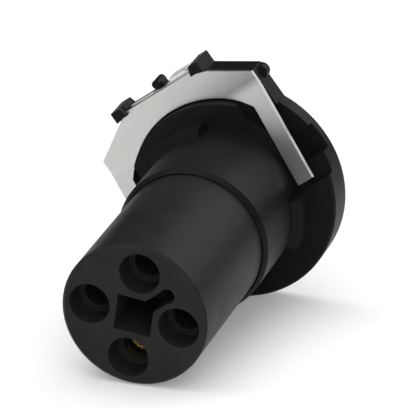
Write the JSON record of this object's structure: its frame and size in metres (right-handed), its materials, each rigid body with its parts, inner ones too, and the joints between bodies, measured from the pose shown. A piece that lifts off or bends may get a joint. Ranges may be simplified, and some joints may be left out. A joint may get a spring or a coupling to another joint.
{
  "type": "panel mount power connector",
  "caption": "Round black panel mount connector with stepped barrel, flange, wire entries in the rear face and a steel fork spring plate held by hooks.",
  "frame": {"origin": "on the connector axis, in the middle of the plain stretch of the barrel that the panel's hole takes", "axes": "-Y along the connector axis toward the wire end, +Y toward the mating end, +X toward the wire entry of pole 1, +Z toward the wire entry of pole 2"},
  "size_m": [0.0445, 0.0586, 0.0445],
  "materials": {
    "housing_plastic": "black moulded plastic, fine satin grain",
    "carrier_plastic": "black moulded plastic, fine satin grain",
    "insert_plastic": "black moulded plastic",
    "plate_steel": "satin spring steel sheet with stamped edges",
    "strip_steel": "bright spring steel strip",
    "ring_steel": "spring steel wire ring",
    "seal_rubber": "black rubber",
    "coding_plastic": "dark moulded plastic",
    "contact_brass": "brass with a thin gold finish",
    "sleeve_steel": "spring steel sleeve",
    "clip_steel": "spring steel clip"
  },
  "bodies": {
    "root": {"flange_housing": "housing_plastic", "contact_carrier": "carrier_plastic", "front_insert": "insert_plastic", "spring_plate": "plate_steel", "ground_strip": "strip_steel", "snap_ring": "ring_steel", "carrier_seal": "seal_rubber", "mating_gasket": "seal_rubber", "coding_key": "coding_plastic", "contact_pole_1": "contact_brass", "contact_pole_2": "contact_brass", "contact_pole_3": "contact_brass", "contact_earth": "contact_brass", "sleeve_pole_1": "sleeve_steel", "sleeve_pole_2": "sleeve_steel", "sleeve_pole_3": "sleeve_steel", "sleeve_earth": "sleeve_steel", "clip_pole_1": "clip_steel", "clip_pole_2": "clip_steel", "clip_pole_3": "clip_steel", "clip_earth": "clip_steel"}
  },
  "joints": []
}
